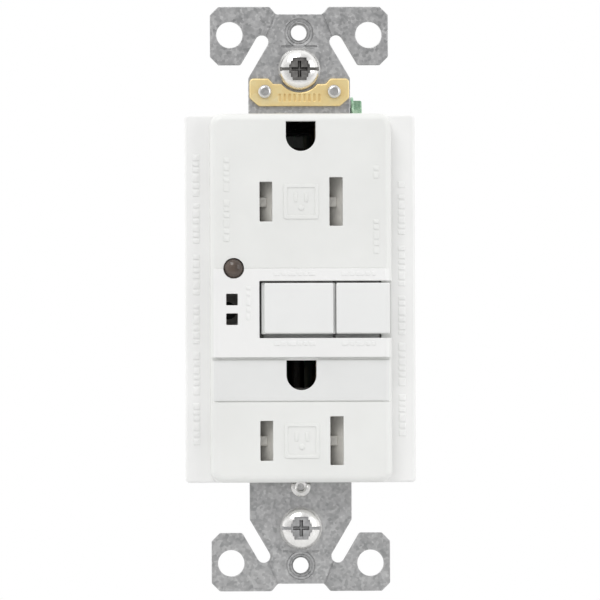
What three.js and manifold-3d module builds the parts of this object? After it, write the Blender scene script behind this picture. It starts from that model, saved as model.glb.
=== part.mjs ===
// A ground-fault receptacle: a duplex wall outlet with test and reset buttons, built as an assembly.
// Millimetres. +X is right, +Y goes into the wall, +Z is up. The front of the outlet faces -Y.
// The origin is the middle of the device on the wall plane, which is the back of the mounting strap.
import * as THREE from "three";
import { mergeVertices } from "three/addons/utils/BufferGeometryUtils.js";
import Module from "manifold-3d";

const wasm = await Module();
wasm.setup();

// ---------------------------------------------------------------- driving dimensions
const GAP = 0.3; // clearance kept between pieces that touch
const SCREW_SPACING = 83.34; // box screws, centre to centre
const PLATE_SCREW_SPACING = 96.84; // wall-plate screws, centre to centre
const BLADE_SPACING = 12.7; // between the two blades of a plug
const PIN_TO_BLADES = 11.85; // from the earth pin's centre to the blades' centre

const UPPER_Z = 17.4; // height of the upper outlet's blades
const LOWER_Z = -25.85; // height of the lower outlet's blades
const OUTLETS = { upper: UPPER_Z, lower: LOWER_Z };

const FACE = { halfX: 16.4, halfZ: 33.4, front: -7.6, wall: 1.8, corner: 2.2 };
const WING = { halfX: 20.9, front: -3.4, roof: 1.8 };
const COVER_END_WALL = 1.0;
const MODULE = { z: [-10.75, 5.3], rise: 0.3 }; // raised panel round the buttons
const BAND = { z: [-18.75, -10.75], depth: 0.5 }; // sunk band over the lower blades
const STRAP = { thick: 1.3, neckX: 9.25, endZ: 53.1, earX: 16.2 };
const HOUSING = { halfX: 20.2, halfZ: 33.0, front: 0.4, back: 25.5, wall: 1.6, floor: 2.0 };
const TRAY = { front: 1.2, plate: 1.4, back: 11.0, wall: 1.0, halfX: 10.2, midX: 18.2, midZ: 9.6 };

const BUTTON_HOLE = { x: [-7.6, FACE.halfX + 1], z: [-7.3, 3.05] };
const RESET = { x: [-6.75, 5.8], stem: [-0.5, -1.9] };
const TEST = { x: [6.3, 16.0], stem: [10.6, -1.9] };
const BUTTON = { z: [-6.45, 2.65], front: -8.1, skirt: -6.9, flange: [-4.1, -3.3] };
const LENS = { at: [-12.22, 5.35], radius: 1.8 };
const SOUND_HOLES = { x: -12.55, z: [-0.3, -3.85], side: 2.1 };
const BADGE = { outer: 6.3, inner: 5.1, rise: 0.2 }; // raised frame between the blade slots
const BUZZER = { at: [-13.0, -2.1], radius: 4.0 };

const TERMINAL_Z = 17.0;
const TERMINAL_AXIS_Y = 9.0;
const WIRE_GAP = 2.6; // open gap between a terminal and its clamp
const RECESS = { x: 11.7, y: [3.0, 16.4], halfZ: 5.6 };
const COLUMN = { x: 13.6, radius: 3.2, tops: 26.9, bottoms: -29.2 };

const EARTH_SCREW = { y: 5.4, z: 33.4 };
const SOLENOID = { y: 16.4, z: [-30.9, -16.0] };
const COIL_TURNS = 5;

// ---------------------------------------------------------------- materials
const finish = (color, roughness, metalness = 0) =>
  new THREE.MeshStandardMaterial({ color, roughness, metalness });
const WHITE_PLASTIC = finish(0xe9e9e6, 0.35);
const BUTTON_PLASTIC = finish(0xebebeb, 0.35);
const GREY_PLASTIC = finish(0x8f9498, 0.5);
const TRAY_PLASTIC = finish(0xd8d6cf, 0.5);
const SMOKED_PLASTIC = finish(0x8a847c, 0.3);
const LENS_PLASTIC = finish(0x5a5049, 0.15);
const BLACK_PLASTIC = finish(0x1c1c1e, 0.5);
const FIBRE = finish(0xb9a88a, 0.9);
const GALVANISED = finish(0x9c9c9c, 0.45, 0.9);
const BRIGHT_STEEL = finish(0xd2d2d0, 0.2, 1);
const BRASS = finish(0xd9bd6b, 0.3, 1);
const GREEN_STEEL = finish(0x5fa07c, 0.35, 0.8);
const COPPER = finish(0xb8672e, 0.4, 0.8);
const BOARD_GREEN = finish(0x2c6b3f, 0.5);
const FERRITE = finish(0x33312f, 0.6);
const VARISTOR_BLUE = finish(0x2f5fa8, 0.5);

// ---------------------------------------------------------------- solids
// A closed three.js geometry as a manifold solid, facing out.
function solid(geometry) {
  const bare = geometry.index ? geometry.toNonIndexed() : geometry;
  const points = new THREE.BufferGeometry();
  points.setAttribute("position", bare.getAttribute("position"));
  const merged = mergeVertices(points, 1e-4);
  const index = merged.index.array;
  const triangles = [];
  for (let i = 0; i < index.length; i += 3) {
    const [a, b, c] = index.slice(i, i + 3);
    if (a !== b && b !== c && c !== a) triangles.push(a, b, c);
  }
  const vertProperties = merged.attributes.position.array;
  const build = (triVerts) =>
    new wasm.Manifold(new wasm.Mesh({ numProp: 3, vertProperties, triVerts: new Uint32Array(triVerts) }));
  const made = build(triangles);
  return made.volume() < 0 ? build(triangles.reverse()) : made;
}

const joined = (first, ...others) => others.reduce((sum, next) => sum.add(next), first);
const cut = (first, ...tools) => tools.reduce((rest, tool) => rest.subtract(tool), first);
const around = (middle, half) => [middle - half, middle + half];
const mirrored = ([low, high], side) => (side > 0 ? [low, high] : [-high, -low]);

// A block between two limits on each axis.
function box(x, y, z) {
  const size = [x, y, z].map(([low, high]) => high - low);
  const middle = [x, y, z].map(([low, high]) => (low + high) / 2);
  return solid(new THREE.BoxGeometry(...size).translate(...middle));
}

// An outline drawn in x and z, thickened from y[0] to y[1].
function plate(outline, y, curveSegments = 8) {
  const options = { depth: y[1] - y[0], bevelEnabled: false, curveSegments };
  const geometry = new THREE.ExtrudeGeometry(outline, options);
  return solid(geometry.rotateX(Math.PI / 2).translate(0, y[1], 0));
}

// An outline drawn in x and y, thickened from z[0] to z[1].
function prism(outline, z) {
  const options = { depth: z[1] - z[0], bevelEnabled: false };
  return solid(new THREE.ExtrudeGeometry(outline, options).translate(0, 0, z[0]));
}

// A straight rod along "x", "y" or "z" from span[0] to span[1]; at holds the other two coordinates.
function rod(axis, radius, span, at, sides = 24, endRadius = radius) {
  const middle = (span[0] + span[1]) / 2;
  const geometry = new THREE.CylinderGeometry(endRadius, radius, span[1] - span[0], sides);
  if (axis === "x") geometry.rotateZ(-Math.PI / 2).translate(middle, at[0], at[1]);
  if (axis === "y") geometry.translate(at[0], middle, at[1]);
  if (axis === "z") geometry.rotateX(Math.PI / 2).translate(at[0], at[1], middle);
  return solid(geometry);
}

// A solid turned about the y axis through the origin; profile lists [radius, y], its ends on the axis.
function turned(profile, sides = 24) {
  return solid(new THREE.LatheGeometry(profile.map(([r, y]) => new THREE.Vector2(r, y)), sides));
}

function roundedRect(x, z, radius) {
  const shape = new THREE.Shape();
  const quarter = Math.PI / 2;
  shape.moveTo(x[0] + radius, z[0]);
  shape.lineTo(x[1] - radius, z[0]);
  shape.absarc(x[1] - radius, z[0] + radius, radius, -quarter, 0);
  shape.lineTo(x[1], z[1] - radius);
  shape.absarc(x[1] - radius, z[1] - radius, radius, 0, quarter);
  shape.lineTo(x[0] + radius, z[1]);
  shape.absarc(x[0] + radius, z[1] - radius, radius, quarter, 2 * quarter);
  shape.lineTo(x[0], z[0] + radius);
  shape.absarc(x[0] + radius, z[0] + radius, radius, 2 * quarter, 3 * quarter);
  return shape;
}

// The earth pin's hole: round below, square above.
function earthOutline(z, radius) {
  const shape = new THREE.Shape();
  shape.absarc(0, z, radius, Math.PI, 2 * Math.PI);
  shape.lineTo(radius, z + radius);
  shape.lineTo(-radius, z + radius);
  shape.closePath();
  return shape;
}

class Helix extends THREE.Curve {
  constructor(radius, length, turns) {
    super();
    Object.assign(this, { radius, length, turns });
  }
  getPoint(t, target = new THREE.Vector3()) {
    const angle = 2 * Math.PI * this.turns * t;
    return target.set(this.radius * Math.cos(angle), this.length * t, this.radius * Math.sin(angle));
  }
}

// A compression spring from the origin along +y.
function springGeometry(radius, length, wire) {
  const section = new THREE.Shape().absarc(0, 0, wire / 2, 0, 2 * Math.PI);
  const extrudePath = new Helix(radius, length, COIL_TURNS);
  const options = { steps: COIL_TURNS * 10, curveSegments: 2, bevelEnabled: false, extrudePath };
  return new THREE.ExtrudeGeometry(section, options);
}

// ---------------------------------------------------------------- the assembly
const outlet = new THREE.Group();

function add(name, made, material) {
  const { numProp, numVert, vertProperties, triVerts } = made.getMesh();
  const positions = new Float32Array(numVert * 3);
  for (let i = 0; i < numVert; i++) {
    positions.set(vertProperties.subarray(i * numProp, i * numProp + 3), i * 3);
  }
  const geometry = new THREE.BufferGeometry();
  geometry.setAttribute("position", new THREE.BufferAttribute(positions, 3));
  geometry.setIndex(new THREE.BufferAttribute(triVerts, 1));
  const mesh = new THREE.Mesh(geometry, material);
  mesh.name = name;
  outlet.add(mesh);
  return mesh;
}

// ---------------------------------------------------------------- front cover
function bladeSlots(z, y) {
  const hot = box(around(-BLADE_SPACING / 2, 1.15), y, around(z, 3.6));
  const neutral = box(around(BLADE_SPACING / 2, 1.2), y, around(z, 4.4));
  return joined(hot, neutral);
}

function badgeFrame(z) {
  const y = [FACE.front - BADGE.rise, FACE.front + 0.1];
  const tall = [FACE.front - 1, FACE.front + 1];
  const side = (width) => around(0, width / 2);
  const frame = box(side(BADGE.outer), y, around(z, BADGE.outer / 2));
  return cut(frame, box(side(BADGE.inner), tall, around(z, BADGE.inner / 2)));
}

function frontCover() {
  const through = [FACE.front - 1, 1];
  const inside = FACE.halfZ - COVER_END_WALL;
  const face = plate(
    roundedRect(around(0, FACE.halfX), around(0, FACE.halfZ), FACE.corner),
    [FACE.front, WING.front + 1],
  );
  const wings = plate(roundedRect(around(0, WING.halfX), around(0, FACE.halfZ), 0.8), [WING.front, 0]);
  const panel = box(around(0, FACE.halfX - 0.4), [FACE.front - MODULE.rise, FACE.front + 1], MODULE.z);
  const shell = cut(
    joined(face, wings, panel),
    box(around(0, FACE.halfX - FACE.wall), [FACE.front + FACE.wall, 1], around(0, inside)),
    box(around(0, WING.halfX - FACE.wall), [WING.front + WING.roof, 1], around(0, inside)),
    box(around(0, FACE.halfX + 1), [FACE.front - 1, FACE.front + BAND.depth], BAND.z),
  );
  const badges = Object.values(OUTLETS).map(badgeFrame);
  // Bosses for the assembly screws, in the corners under the face.
  const bossFloor = FACE.front + 1;
  const bosses = columnPlaces().map((at) => rod("y", 2.2, [bossFloor, 0], at));
  const threads = columnPlaces().map((at) => rod("y", 1.35, [bossFloor + 1.5, 1], at));
  const openings = [
    ...Object.values(OUTLETS).map((z) => bladeSlots(z, through)),
    ...Object.values(OUTLETS).map((z) => plate(earthOutline(z + PIN_TO_BLADES, 2.7), through)),
    box(BUTTON_HOLE.x, [FACE.front - 1, -4.7], BUTTON_HOLE.z),
    rod("y", LENS.radius + 0.15, through, LENS.at),
    ...SOUND_HOLES.z.map((z) => soundHole(z, through)),
  ];
  // The strap leaves through a notch in each end wall, with a relief for the rivet below.
  const strapNotch = box(around(0, STRAP.neckX + GAP), [-STRAP.thick - GAP, 1], around(0, FACE.halfZ + 1));
  const rivetRelief = box(around(0, 2.2), [-2.5, 1], [-FACE.halfZ - 1, -31]);
  return cut(joined(shell, ...badges, ...bosses), ...threads, ...openings, strapNotch, rivetRelief);
}

function soundHole(z, y) {
  const half = SOUND_HOLES.side / 2;
  return box(around(SOUND_HOLES.x, half), y, around(z, half));
}

function columnPlaces() {
  return [COLUMN.tops, COLUMN.bottoms].flatMap((z) => [-1, 1].map((side) => [side * COLUMN.x, z]));
}

// ---------------------------------------------------------------- mounting strap
// One end's outline, right half, from the middle of the end round the ear to the neck.
function strapEndHalf() {
  const chamfer = 1.5;
  const earBottom = 42.5;
  const slot = { x: 6.75, z: 46.75, radius: 1.2, tilt: THREE.MathUtils.degToRad(59.6) };
  const across = [Math.sin(slot.tilt), Math.cos(slot.tilt)];
  const along = [Math.cos(slot.tilt), -Math.sin(slot.tilt)];
  const earSide = [slot.x + slot.radius * across[0], slot.z + slot.radius * across[1]];
  const neckSide = [slot.x - slot.radius * across[0], slot.z - slot.radius * across[1]];
  const earRun = (earBottom - earSide[1]) / along[1];
  const neckRun = (STRAP.neckX - neckSide[0]) / along[0];
  const steps = 8;
  const roundEnd = [...Array(steps + 1).keys()].map((i) => {
    const angle = Math.PI / 2 - slot.tilt + (Math.PI * i) / steps;
    return [slot.x + slot.radius * Math.cos(angle), slot.z + slot.radius * Math.sin(angle)];
  });
  return [
    [4.2, STRAP.endZ - 1.35],
    [5.3, STRAP.endZ],
    [STRAP.earX - chamfer, STRAP.endZ],
    [STRAP.earX, STRAP.endZ - chamfer],
    [STRAP.earX, earBottom + chamfer],
    [STRAP.earX - chamfer, earBottom],
    [earSide[0] + earRun * along[0], earBottom],
    ...roundEnd,
    [STRAP.neckX, neckSide[1] + neckRun * along[1]],
    [STRAP.neckX, 31],
  ];
}

function strapEnd(end) {
  const right = strapEndHalf();
  const left = right.map(([x, z]) => [-x, z]).reverse();
  const outline = new THREE.Shape([...right, ...left].map(([x, z]) => new THREE.Vector2(x, end * z)));
  return plate(outline, [-STRAP.thick, 0]);
}

function mountingStrap() {
  const y = [-STRAP.thick, 0];
  const through = [-STRAP.thick - 1, 1];
  const insideZ = FACE.halfZ - COVER_END_WALL - 0.2;
  const bodyX = 11.0;
  const tower = { x: 9.1, z: 5.4 };
  const body = joined(
    box(around(0, bodyX), y, [10.5, insideZ]),
    box(around(0, 8.0), y, [-10, 11]),
    box(around(0, bodyX), y, [-insideZ, -9.5]),
  );
  const earthTab = box([STRAP.neckX - STRAP.thick, STRAP.neckX], [-STRAP.thick, 9.6], [30.0, 37.2]);
  const collars = [];
  const holes = [];
  for (const end of [-1, 1]) {
    const plateHole = [0, (end * PLATE_SCREW_SPACING) / 2];
    const boxHole = (end * SCREW_SPACING) / 2;
    collars.push(rod("y", 2.3, [-0.5, 1.4], plateHole));
    holes.push(
      rod("y", 1.45, [-3, 3], plateHole),
      rod("y", 2.5, [-STRAP.thick - 0.1, -STRAP.thick + 0.65], plateHole, 24, 1.4),
      box(around(0, 1.4), through, around(boxHole, 2.1)),
      rod("y", 2.1, through, [-1.4, boxHole]),
      rod("y", 2.1, through, [1.4, boxHole]),
      rod("y", 2.4, through, [-12.65, end * 48.0]),
      rod("y", 2.4, through, [12.65, end * 48.0]),
      box(around(0, 3.3), [-3, -STRAP.thick + 0.4], around(boxHole + end * 4.15, 0.2)),
    );
  }
  for (const z of Object.values(OUTLETS)) {
    holes.push(
      box(around(0, tower.x), through, around(z, tower.z)),
      box(around(0, 3.4), through, around(z + PIN_TO_BLADES, 3.4)),
    );
  }
  for (const side of [-1, 1]) holes.push(rod("y", 0.95, through, [side * 6.3, 37.6], 16));
  holes.push(
    rod("y", 1.1, through, [0, -34.2], 16),
    rod("y", 2.6, through, RESET.stem),
    rod("x", 2.2, [5, 12], [EARTH_SCREW.y, EARTH_SCREW.z]),
  );
  return cut(joined(strapEnd(1), strapEnd(-1), body, earthTab, ...collars), ...holes);
}

// ---------------------------------------------------------------- strap hardware
// A truss-head box screw along +y, its head's underside at y 0, with a slot and a cross in the head.
function boxScrew() {
  const head = turned([[0, -2.2], [1.6, -2.0], [2.9, -1.4], [3.6, -0.7], [3.8, 0], [0, 0]]);
  const shank = rod("y", 1.65, [-0.5, 24.4], [0, 0], 16);
  const tip = rod("y", 1.65, [24.4, 25.4], [0, 0], 16, 0.9);
  const slot = box(around(0, 4), [-3, -1.35], around(0, 0.35));
  const cross = joined(
    box(around(0, 0.55), [-3, -0.9], around(0, 1.9)),
    box(around(0, 1.9), [-3, -0.9], around(0, 0.55)),
  );
  return cut(joined(head, shank, tip), slot, cross);
}

function screwRetainer(z) {
  return cut(box(around(0, 4), [GAP, 1.1], around(z, 4)), rod("y", 1.95, [0, 2], [0, z], 16));
}

function groundingClip() {
  const y = [-STRAP.thick - GAP - 0.7, -STRAP.thick - GAP];
  const halfX = 9.05;
  const [bottom, shoulder, top] = [34.95, 39.0, 40.0];
  const screwZ = SCREW_SPACING / 2;
  const reach = 4.2;
  const open = Math.asin((screwZ - shoulder) / reach);
  const outline = new THREE.Shape();
  outline.moveTo(-halfX + 1.7, bottom);
  outline.lineTo(halfX - 1.7, bottom);
  outline.lineTo(halfX, bottom + 1.5);
  outline.lineTo(halfX, top - 0.6);
  outline.lineTo(halfX - 0.6, top);
  outline.lineTo(halfX - 3.4, top);
  outline.lineTo(halfX - 4.3, shoulder);
  outline.absarc(0, screwZ, reach, -open, -Math.PI + open, true);
  outline.lineTo(-halfX + 4.3, shoulder);
  outline.lineTo(-halfX + 3.4, top);
  outline.lineTo(-halfX + 0.6, top);
  outline.lineTo(-halfX, top - 0.6);
  outline.lineTo(-halfX, bottom + 1.5);
  const holes = [-1, 1].map((side) => rod("y", 0.95, [-4, 0], [side * 6.3, 37.6], 16));
  return cut(plate(outline, y), ...holes);
}

// A rivet through the clip and strap, its head in front.
function clipRivet(side) {
  const at = [side * 6.3, 37.6];
  const front = -STRAP.thick - 0.7 - 2 * GAP;
  return joined(
    rod("y", 0.8, [front - 0.5, front - 0.2], at, 16, 1.2),
    rod("y", 1.2, [front - 0.2, front], at, 16),
    rod("y", 0.65, [front - 0.1, GAP + 0.2], at, 16),
    rod("y", 1.2, [GAP, GAP + 0.5], at, 16),
  );
}

// The semi-tubular rivet below the cover, with a dished head.
function strapRivet() {
  const at = [0, -34.2];
  const front = -STRAP.thick - GAP;
  const made = joined(
    rod("y", 1.3, [front - 0.5, front], at, 20, 1.8),
    rod("y", 0.8, [front - 0.1, GAP + 0.2], at, 20),
    rod("y", 1.1, [GAP, GAP + 0.5], at, 20),
  );
  return cut(made, rod("y", 0.8, [front - 1, front - 0.25], at, 20));
}

// The green screw stands out of the strap's side tab along +x.
function earthScrew() {
  const at = [EARTH_SCREW.y, EARTH_SCREW.z];
  const made = joined(
    rod("x", 1.9, [4.7, 9.8], at, 16),
    rod("x", 3.6, [9.6, 10.1], at),
    rod("x", 3.3, [10.1, 11.6], at, 6),
  );
  return cut(made, box([11.0, 12], around(EARTH_SCREW.y, 4), around(EARTH_SCREW.z, 0.4)));
}

// A U-shaped base with two bowed fingers that grip the earth pin.
function earthContact(z) {
  const pinZ = z + PIN_TO_BLADES;
  const bow = [[2.9, GAP], [3.4, GAP], [2.8, 4.5], [3.1, 9.0], [2.7, 9.0], [2.35, 4.5]];
  const finger = (side) => {
    const outline = new THREE.Shape(bow.map(([x, y]) => new THREE.Vector2(side * x, y)));
    return prism(outline, around(pinZ + 0.1, 2.0));
  };
  const base = cut(
    box(around(0, 4.4), [GAP, 0.9], [pinZ - 3.5, pinZ + 2.75]),
    box(around(0, 2.9), [0, 2], [pinZ - 2.9, pinZ + 3]),
  );
  return joined(base, finger(-1), finger(1));
}

// ---------------------------------------------------------------- buttons
// A cap over a slightly wider skirt, on a flange that keeps it in the cover.
function buttonCap(x, skirtX, flangeX) {
  const cap = box(x, [BUTTON.front, BUTTON.skirt + 0.1], BUTTON.z);
  const skirt = box(skirtX, [BUTTON.skirt, BUTTON.flange[0] + 0.2], [BUTTON.z[0] - 0.5, BUTTON.z[1] + 0.1]);
  const flange = box(flangeX, BUTTON.flange, [BUTTON_HOLE.z[0] - 0.7, BUTTON_HOLE.z[1] + 0.7]);
  return joined(cap, skirt, flange);
}

// The hollow under a cap, open at the back.
function buttonHollow(x) {
  return box(x, [BUTTON.front + 1.6, 0], [BUTTON.z[0] + 1.2, BUTTON.z[1] - 1.2]);
}

function resetButton() {
  const [left, right] = RESET.x;
  const cap = buttonCap(RESET.x, [left - 0.45, right + 0.2], RESET.x);
  const hub = rod("y", 2.2, [BUTTON.front + 1, BUTTON.flange[1]], RESET.stem, 16);
  const bore = rod("y", 1.3, [BUTTON.front + 1.5, 0], RESET.stem, 16);
  return cut(joined(cut(cap, buttonHollow([left + 1.2, right - 1.2])), hub), bore);
}

function resetPlunger() {
  const top = BUTTON.front + 1.5 + GAP;
  return joined(
    rod("y", 1.0, [top, 16.4], RESET.stem, 16),
    rod("y", 1.2, [16.4, 17.6], RESET.stem, 16, 0.7),
  );
}

function testButton() {
  const cap = buttonCap(TEST.x, TEST.x, [TEST.x[0], 14.3]);
  const stem = rod("y", 1.0, [BUTTON.front + 1, 6.3], TEST.stem, 16);
  const sideClear = box([14.3, 18], [-5.9, 0], [-9, 6]);
  return joined(cut(cap, buttonHollow([TEST.x[0] + 1.2, 13.2]), sideClear), stem);
}

function coil(radius, length, wire, place) {
  return solid(place(springGeometry(radius, length, wire)));
}

// ---------------------------------------------------------------- shutters
// A slider with a ramp under each slot: both blades push it along +x, against its spring.
function shutter(z) {
  const ramp = (x) => {
    const shape = new THREE.Shape();
    shape.moveTo(x, -2.9);
    shape.lineTo(x + 2.9, -2.9);
    shape.lineTo(x + 2.9, -5.4);
    shape.lineTo(x + 2.5, -5.4);
    shape.lineTo(x, -3.4);
    return shape;
  };
  const railZ = 5.4;
  const floor = [-4.0, -2.9];
  return joined(
    prism(ramp(-7.8), around(z, 4.75)),
    prism(ramp(4.9), around(z, 4.75)),
    box([-5.0, 1.6], floor, around(z, railZ)),
    box([-7.8, 7.8], floor, [z + 4.6, z + railZ]),
    box([-7.8, 7.8], floor, [z - railZ, z - 4.6]),
    box([7.7, 9.0], [-5.2, -2.9], around(z, 1.6)),
  );
}

// ---------------------------------------------------------------- contact tray
function tray() {
  const y = [TRAY.front, TRAY.back];
  const hollow = [TRAY.front + TRAY.plate, TRAY.back + 1];
  const through = [-4, TRAY.front + TRAY.plate + 1];
  const w = TRAY.wall;
  const block = joined(
    box(around(0, TRAY.halfX), y, [-31.0, 28.0]),
    box(around(0, TRAY.midX), y, around(0, TRAY.midZ)),
  );
  const towerY = [-2.5, TRAY.front + 0.1];
  const towers = Object.values(OUTLETS).map((z) => box(around(0, 8.7), towerY, around(z, 5.0)));
  const hollows = [
    box(around(0, TRAY.halfX - w), hollow, [-31.0 + w, 28.0 - w]),
    box(around(0, TRAY.midX - w), hollow, around(0, TRAY.midZ - w)),
  ];
  const holes = [
    ...Object.values(OUTLETS).map((z) => bladeSlots(z, through)),
    box(around(0, 3.9), [0, 12], [26.0, 29]),
    box(around(0, 3.7), [0, 4], [-17.0, -10.5]),
    rod("y", 1.4, through, RESET.stem, 16),
    rod("y", 1.4, through, TEST.stem, 16),
    rod("y", 1.6, [0, 12], LENS.at, 16),
    rod("y", 1.6, through, BUZZER.at, 16),
  ];
  for (const z of [-TERMINAL_Z, TERMINAL_Z]) {
    holes.push(box(around(0, TRAY.halfX + 1), [5.6, 12], around(z, 3.2)));
  }
  return cut(joined(block, ...towers), ...hollows, ...holes);
}

// ---------------------------------------------------------------- rear housing
function terminalWell(side, z) {
  const wall = box(mirrored([10.5, HOUSING.halfX], side), [HOUSING.front, HOUSING.back], around(z, 6.8));
  const recess = box(mirrored([RECESS.x, 21], side), RECESS.y, around(z, RECESS.halfZ));
  const shank = rod("x", 2.4, mirrored([10, 12], side), [TERMINAL_AXIS_Y, z], 16);
  const leg = box(mirrored([10, 12], side), [14.6, 16.2], around(z - 3.0, 1.6));
  const wireHoles = [-3.1, 3.1].flatMap((offset) => [
    rod("y", 1.2, [16, 24.3], [side * 14.3, z + offset], 12),
    rod("y", 1.2, [24.2, 25.6], [side * 14.3, z + offset], 12, 1.9),
  ]);
  return { wall, cuts: [recess, shank, leg, ...wireHoles] };
}

function rearHousing() {
  const y = [HOUSING.front, HOUSING.back];
  const outer = plate(roundedRect(around(0, HOUSING.halfX), around(0, HOUSING.halfZ), 1.6), y, 4);
  const hollow = box(
    around(0, HOUSING.halfX - HOUSING.wall),
    [0, HOUSING.back - HOUSING.floor],
    around(0, HOUSING.halfZ - HOUSING.wall),
  );
  const wells = [-1, 1].flatMap((side) => [-TERMINAL_Z, TERMINAL_Z].map((z) => terminalWell(side, z)));
  const columns = columnPlaces().map((at) => rod("y", COLUMN.radius, y, at, 20));
  // The corner is stepped back for the earth screw, and walled off from the inside.
  const cornerWall = box([3.7, HOUSING.halfX - 0.5], [HOUSING.front, 11.8], [28.3, HOUSING.halfZ - 0.5]);
  const corner = box([4.4, 21], [0, 10.6], [29.5, 34]);
  const earthWell = box(around(0, 3.7), [0, 13], [26.6, 32.6]);
  const earthBase = box(around(0, 4.7), [0, TRAY.front], [25.4, 32.85]);
  const bores = columnPlaces().flatMap((at) => [
    rod("y", 1.6, [0, 26], at, 16),
    rod("y", 2.9, [23.0, 26], at, 20),
  ]);
  return cut(
    joined(cut(outer, hollow), ...wells.map((w) => w.wall), ...columns, cornerWall),
    ...wells.flatMap((w) => w.cuts),
    corner,
    earthWell,
    earthBase,
    ...bores,
  );
}

function assemblyScrew(at) {
  const head = [23.3, 25.0];
  const made = joined(rod("y", 2.5, head, at, 20), rod("y", 1.05, [-4.6, head[0] + 0.1], at, 12));
  const slot = joined(
    box(around(at[0], 1.6), [24.1, 26], around(at[1], 0.35)),
    box(around(at[0], 0.35), [24.1, 26], around(at[1], 1.6)),
  );
  return cut(made, slot);
}

// ---------------------------------------------------------------- terminals
function terminal(side, z) {
  const x = mirrored([12.0, 13.0], side);
  const leaf = box(x, [4.0, 14.9], around(z, 4.6));
  const leg = box(mirrored([8.8, 12.5], side), [14.9, 15.7], around(z - 3.0, 1.2));
  const joint = box(x, [14.8, 15.7], around(z - 3.0, 1.2));
  return cut(joined(leaf, joint, leg), rod("x", 2.2, mirrored([11, 14], side), [TERMINAL_AXIS_Y, z]));
}

function clampPlate(side, z) {
  const near = 13.0 + WIRE_GAP;
  const body = box(mirrored([near, near + 1.3], side), [4.5, 13.5], around(z, 4.5));
  const grooves = [-3.1, 3.1].map((offset) =>
    rod("y", 0.9, [4, 14], [side * (near - 0.4), z + offset], 12),
  );
  return cut(body, rod("x", 2.2, mirrored([13, 18], side), [TERMINAL_AXIS_Y, z]), ...grooves);
}

function terminalScrew(side, z) {
  const at = [TERMINAL_AXIS_Y, z];
  const near = 13.0 + WIRE_GAP + 1.3 + GAP;
  const radii = side > 0 ? [4.0, 3.5] : [3.5, 4.0];
  const head = rod("x", radii[0], mirrored([near, near + 2.2], side), at, 24, radii[1]);
  const shank = rod("x", 1.9, mirrored([11.5, near + 0.2], side), at, 16);
  const slots = [
    box(mirrored([near + 1.1, 21], side), around(at[0], 0.45), around(z, 5)),
    box(mirrored([near + 0.7, 21], side), around(at[0], 0.55), around(z, 1.9)),
    box(mirrored([near + 0.7, 21], side), around(at[0], 1.9), around(z, 0.55)),
  ];
  return cut(joined(head, shank), ...slots);
}

// ---------------------------------------------------------------- contacts
function contactStrip(side) {
  const x = side * (BLADE_SPACING / 2);
  const base = box(around(x, 2.5), [9.6, 10.4], [-29.75, 21.3]);
  const fingers = Object.values(OUTLETS).flatMap((z) =>
    [-1, 1].map((edge) => box(around(x + edge * 1.25, 0.3), [3.4, 9.7], around(z, 2.8))),
  );
  const fixedContact = rod("y", 1.5, [10.3, 11.6], [side * 6.3, -4.4], 16);
  const bladeHoles = Object.values(OUTLETS).map((z) => box(around(x, 0.9), [9, 11], around(z, 3.4)));
  return cut(joined(base, ...fingers, fixedContact), ...bladeHoles);
}

function contactArm(side) {
  const arm = box(mirrored([5.0, 7.6], side), [13.6, 14.1], [-6.0, 11.0]);
  const tip = rod("y", 1.3, [11.9, 13.7], [side * 6.3, -4.4], 16);
  return joined(arm, tip);
}

function testContact() {
  return box([9.5, 11.8], [6.6, 7.0], [-8.2, 0.4]);
}

// ---------------------------------------------------------------- trip mechanism
function latchCarrier() {
  const block = box(around(0, 3.5), [11.6, 19.4], [-6.0, 3.5]);
  const ledges = [-1, 1].map((side) => box(mirrored([3.4, 9.0], side), [14.4, 16.4], [-3.4, 0.4]));
  const bore = rod("y", 1.55, [11, 18.9], RESET.stem, 16);
  const latchSlot = box(around(0, 2.9), [13.2, 18.8], [-7, -4.4]);
  return cut(joined(block, ...ledges), bore, latchSlot);
}

function latchPlate() {
  return box(around(0, 2.5), [15.0, 17.0], [-8.7, -6.6]);
}

function armature() {
  return rod("z", 1.4, [-27.0, -9.0], [0, SOLENOID.y], 16);
}

function solenoidFrame() {
  const [low, high] = SOLENOID.z;
  const outer = box(around(0, 6.4), around(SOLENOID.y, 4.5), [low, high]);
  const inner = box(around(0, 5.6), around(SOLENOID.y, 5), [low + 0.8, high - 0.8]);
  return cut(outer, inner, rod("z", 1.8, [-20, -10], [0, SOLENOID.y], 16));
}

function solenoidBobbin() {
  const [low, high] = [SOLENOID.z[0] + 1.1, SOLENOID.z[1] - 1.1];
  const flange = (z) => box(around(0, 5.2), around(SOLENOID.y, 4.3), around(z, 0.5));
  const tube = rod("z", 2.3, [low, high], [0, SOLENOID.y], 20);
  const bore = rod("z", 1.75, [low + 1.5, high + 1], [0, SOLENOID.y], 16);
  return cut(joined(tube, flange(low + 0.5), flange(high - 0.5)), bore);
}

function solenoidCoil() {
  const [low, high] = [SOLENOID.z[0] + 2.4, SOLENOID.z[1] - 2.4];
  const at = [0, SOLENOID.y];
  return cut(rod("z", 4.1, [low, high], at), rod("z", 2.6, [low - 1, high + 1], at));
}

// ---------------------------------------------------------------- electronics
function circuitBoard() {
  const y = [21.2, 22.8];
  return joined(
    box(around(0, TRAY.halfX), y, around(0, 30.8)),
    box(around(0, TRAY.midX), y, around(0, TRAY.midZ)),
  );
}

function ring(radii, y, at, sides = 28) {
  return cut(rod("y", radii[1], y, at, sides), rod("y", radii[0], [y[0] - 1, y[1] + 1], at, sides));
}

function transformerBoot() {
  const at = [0, 20];
  return cut(ring([2.9, 8.2], [13.0, 20.9], at), ring([3.7, 7.5], [14.0, 22], at));
}

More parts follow.
